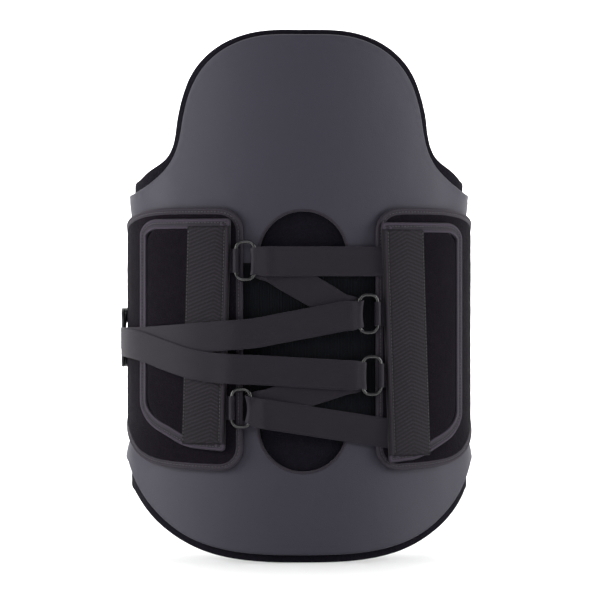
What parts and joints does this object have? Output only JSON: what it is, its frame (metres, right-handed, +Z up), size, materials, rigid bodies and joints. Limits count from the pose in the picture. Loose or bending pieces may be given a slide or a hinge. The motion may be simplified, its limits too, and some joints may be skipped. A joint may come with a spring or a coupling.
{
  "type": "back brace",
  "caption": "Rigid-backed lumbar brace with domed padded back panel, cinch-laced side wings, ring pulleys, a pull handle and lapped front belt halves",
  "frame": {"origin": "on the torso axis, level with the back panel's lowest edge", "axes": "+Z up the torso, -Y towards the wearer's back, +X to the wearer's right seen from behind on the right-hand side"},
  "size_m": [0.3069, 0.2144, 0.4521],
  "materials": {
    "liner_fabric": "brushed black knit",
    "back_plate_plastic": "matte",
    "cover_laminate": "smooth matte charcoal laminate",
    "elastic": "ribbed elastic",
    "loop_pile": "black loop pile",
    "binding_tape": "soft woven tape",
    "hook_fastener": "moulded hooks",
    "herringbone_band": "herringbone webbing",
    "stay_plastic": "matte",
    "webbing": "flat woven webbing",
    "ring_gloss": "glossy black",
    "handle_plastic": "satin moulded"
  },
  "bodies": {
    "root": {"back_liner": "liner_fabric", "back_plate": "back_plate_plastic", "shell_cover": "cover_laminate", "elastic_bridge": "elastic", "upper_lace_sewn_run": "webbing", "upper_lace_return_run": "webbing", "upper_lace_pull_run": "webbing", "lower_lace_sewn_run": "webbing", "lower_lace_return_run": "webbing", "lower_lace_pull_run": "webbing"},
    "left_wing": {"left_wing": "loop_pile", "left_wing_binding": "binding_tape", "left_lacing_flap": "loop_pile", "left_flap_binding": "binding_tape", "left_webbing_band": "herringbone_band", "left_edge_stay": "stay_plastic", "left_hook_pad": "hook_fastener", "left_upper_ring_tab": "webbing", "left_lower_ring_tab": "webbing", "upper_pull_tail": "webbing", "lower_pull_tail": "webbing"},
    "right_wing": {"right_wing": "loop_pile", "right_wing_binding": "binding_tape", "right_lacing_flap": "loop_pile", "right_flap_binding": "binding_tape", "right_webbing_band": "herringbone_band", "right_edge_stay": "stay_plastic", "right_hook_pad": "hook_fastener", "right_upper_ring_tab": "webbing", "right_lower_ring_tab": "webbing"},
    "left_upper_ring": {"left_upper_ring": "ring_gloss", "left_upper_strap_bight": "webbing"},
    "left_lower_ring": {"left_lower_ring": "ring_gloss", "left_lower_strap_bight": "webbing"},
    "right_upper_ring": {"right_upper_ring": "ring_gloss", "right_upper_strap_bight": "webbing"},
    "right_lower_ring": {"right_lower_ring": "ring_gloss", "right_lower_strap_bight": "webbing"},
    "handle": {"pull_handle": "handle_plastic", "handle_hook_pad": "hook_fastener"},
    "left_front": {"left_front_belt": "loop_pile", "left_front_binding": "binding_tape", "left_seam_tape": "binding_tape", "left_loop_patch": "loop_pile"},
    "right_front": {"right_front_belt": "loop_pile", "right_front_binding": "binding_tape", "right_hook_patch": "hook_fastener"}
  },
  "joints": [
    {"name": "left_cinch", "type": "hinge", "parent": "root", "child": "left_wing", "pos_m": [-0.025, 0, 0.19], "axis": [0, 0, 1], "range_deg": [0, 5.7], "deforming": ["elastic_bridge", "upper_lace_sewn_run", "upper_lace_return_run", "upper_lace_pull_run", "lower_lace_sewn_run", "lower_lace_return_run", "lower_lace_pull_run"]},
    {"name": "right_cinch", "type": "hinge", "parent": "root", "child": "right_wing", "pos_m": [0.025, 0, 0.19], "axis": [0, 0, -1], "range_deg": [0, 5.7]},
    {"name": "handle_pull", "type": "slide", "parent": "left_wing", "child": "handle", "axis": [0, 1, 0], "range_m": [0, 0.06]},
    {"name": "right_front_open", "type": "hinge", "parent": "right_wing", "child": "right_front", "pos_m": [0.12179, 0.06649, 0.19], "axis": [0, 0, -1], "range_deg": [0, 75]},
    {"name": "left_front_open", "type": "hinge", "parent": "left_wing", "child": "left_front", "pos_m": [-0.12179, 0.06649, 0.19], "axis": [0, 0, 1], "range_deg": [0, 37.5]},
    {"name": "left_upper_ring_tilt", "type": "hinge", "parent": "left_wing", "child": "left_upper_ring", "pos_m": [-0.05711, -0.09983, 0.256], "axis": [0, 0, -1], "range_deg": [-6, 10]},
    {"name": "left_lower_ring_tilt", "type": "hinge", "parent": "left_wing", "child": "left_lower_ring", "pos_m": [-0.06058, -0.09935, 0.131], "axis": [0, 0, -1], "range_deg": [-6, 10]},
    {"name": "right_upper_ring_tilt", "type": "hinge", "parent": "right_wing", "child": "right_upper_ring", "pos_m": [0.06327, -0.09776, 0.211], "axis": [0, 0, 1], "range_deg": [-6, 10]},
    {"name": "right_lower_ring_tilt", "type": "hinge", "parent": "right_wing", "child": "right_lower_ring", "pos_m": [0.06614, -0.09721, 0.1585], "axis": [0, 0, 1], "range_deg": [-6, 10]}
  ],
  "couplings": [
    {"joint": "right_cinch", "follows": "left_cinch", "ratio": 1},
    {"joint": "handle_pull", "follows": "left_cinch", "m_per_rad": 0.6},
    {"joint": "left_front_open", "follows": "right_front_open", "ratio": 0.5}
  ]
}
